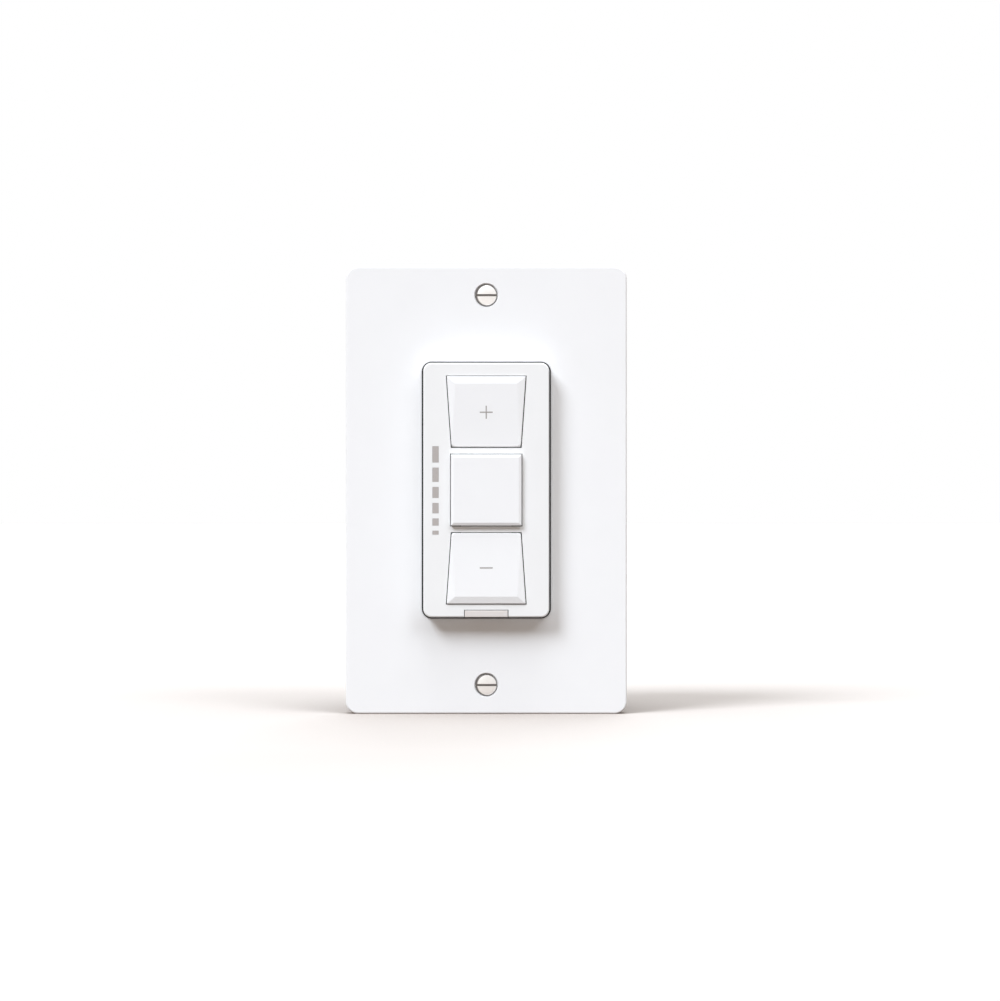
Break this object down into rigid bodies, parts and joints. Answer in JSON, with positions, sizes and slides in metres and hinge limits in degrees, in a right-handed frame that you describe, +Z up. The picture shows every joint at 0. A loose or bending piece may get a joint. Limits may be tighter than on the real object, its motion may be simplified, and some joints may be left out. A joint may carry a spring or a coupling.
{
  "type": "wall dimmer switch",
  "caption": "White wall dimmer: screwed plate, raised face with plus, toggle and minus keys, light bars and a pull tab, on a deep rear housing with side screw terminals.",
  "frame": {"origin": "middle of the switch on the wall's surface, midway between the two box screws", "axes": "+X to the right seen from the front, +Z up, and the face looks towards -Y; +Y goes into the wall"},
  "size_m": [0.0698, 0.0398, 0.1112],
  "materials": {
    "plate_plastic": "smooth moulded white, semi-gloss",
    "face_plastic": "fine-grained moulded white",
    "key_plastic": "fine-grained moulded white",
    "frame_plastic": "moulded dark grey",
    "guide_plastic": "clear grey-tinted light guide",
    "nickel_screw": "nickel-plated",
    "zinc_screw": "zinc-plated",
    "strap_steel": "zinc-plated, stamped",
    "housing_plastic": "moulded black with a fine grain",
    "fibre": "red vulcanised fibre",
    "brass": "plain",
    "ground_green": "green-dyed zinc",
    "circuit_board": "green solder mask",
    "black_epoxy": "moulded black epoxy",
    "tinned_metal": "tinned",
    "ferrite": "dark sintered",
    "winding_tape": "amber tape",
    "film_case": "yellow case",
    "can_sleeve": "shrunk dark sleeve",
    "blue_epoxy": "dipped blue epoxy",
    "fuse_ceramic": "glazed",
    "pad_silicone": "grey silicone sheet",
    "clear_led": "clear resin"
  },
  "bodies": {
    "dimmer": {"wall_plate": "plate_plastic", "plate_screws": "nickel_screw", "face_cap": "face_plastic", "mid_frame": "frame_plastic", "air_gap_contacts": "brass", "light_guide": "guide_plastic", "indicator_leds": "clear_led", "control_board": "circuit_board", "switch_bodies": "black_epoxy", "radio_module": "tinned_metal", "controller_chip": "black_epoxy", "header_body": "black_epoxy", "header_pins": "brass", "mounting_strap": "strap_steel", "box_screws": "zinc_screw", "screw_retainers": "fibre", "ground_screw": "ground_green", "rear_housing": "housing_plastic", "housing_screws": "zinc_screw", "terminal_plates": "brass", "terminal_screws": "brass", "power_board": "circuit_board", "choke_core": "ferrite", "choke_winding": "winding_tape", "filter_capacitor": "film_case", "reservoir_capacitors": "can_sleeve", "transformer_core": "ferrite", "transformer_coil": "winding_tape", "surge_suppressor": "blue_epoxy", "fuse_body": "fuse_ceramic", "fuse_caps": "tinned_metal", "transistor_tabs": "tinned_metal", "transistor_bodies": "black_epoxy", "transistor_leads": "tinned_metal", "transistor_screws": "zinc_screw", "thermal_pad": "pad_silicone"},
    "plus_key": {"plus_key": "key_plastic"},
    "minus_key": {"minus_key": "key_plastic"},
    "toggle_key": {"toggle_key": "key_plastic"},
    "plus_stem": {"plus_switch_stem": "black_epoxy"},
    "toggle_stem": {"toggle_switch_stem": "black_epoxy"},
    "minus_stem": {"minus_switch_stem": "black_epoxy"},
    "pull_tab": {"air_gap_tab": "key_plastic", "air_gap_bridge": "brass"}
  },
  "joints": [
    {"name": "plus_press", "type": "hinge", "parent": "dimmer", "child": "plus_key", "pos_m": [0, -0.0079, 0.012], "axis": [-1, 0, 0], "range_deg": [0, 2.2], "stiffness_Nm_per_rad": 0.3, "springref_deg": -1.15},
    {"name": "minus_press", "type": "hinge", "parent": "dimmer", "child": "minus_key", "pos_m": [0, -0.0079, -0.012], "axis": [1, 0, 0], "range_deg": [0, 2.2], "stiffness_Nm_per_rad": 0.3, "springref_deg": -1.15},
    {"name": "toggle_press", "type": "slide", "parent": "dimmer", "child": "toggle_key", "axis": [0, 1, 0], "range_m": [0, 0.0004], "stiffness_N_per_m": 2500, "springref_m": -0.0002},
    {"name": "plus_stem_slide", "type": "slide", "parent": "dimmer", "child": "plus_stem", "axis": [0, 1, 0], "range_m": [0, 0.0004]},
    {"name": "minus_stem_slide", "type": "slide", "parent": "dimmer", "child": "minus_stem", "axis": [0, 1, 0], "range_m": [0, 0.0004]},
    {"name": "toggle_stem_slide", "type": "slide", "parent": "dimmer", "child": "toggle_stem", "axis": [0, 1, 0], "range_m": [0, 0.0004]},
    {"name": "air_gap_pull", "type": "slide", "parent": "dimmer", "child": "pull_tab", "axis": [0, -1, 0], "range_m": [0, 0.003]}
  ],
  "couplings": [
    {"joint": "plus_stem_slide", "follows": "plus_press", "m_per_rad": 0.01},
    {"joint": "minus_stem_slide", "follows": "minus_press", "m_per_rad": 0.01},
    {"joint": "toggle_stem_slide", "follows": "toggle_press", "ratio": 1}
  ]
}
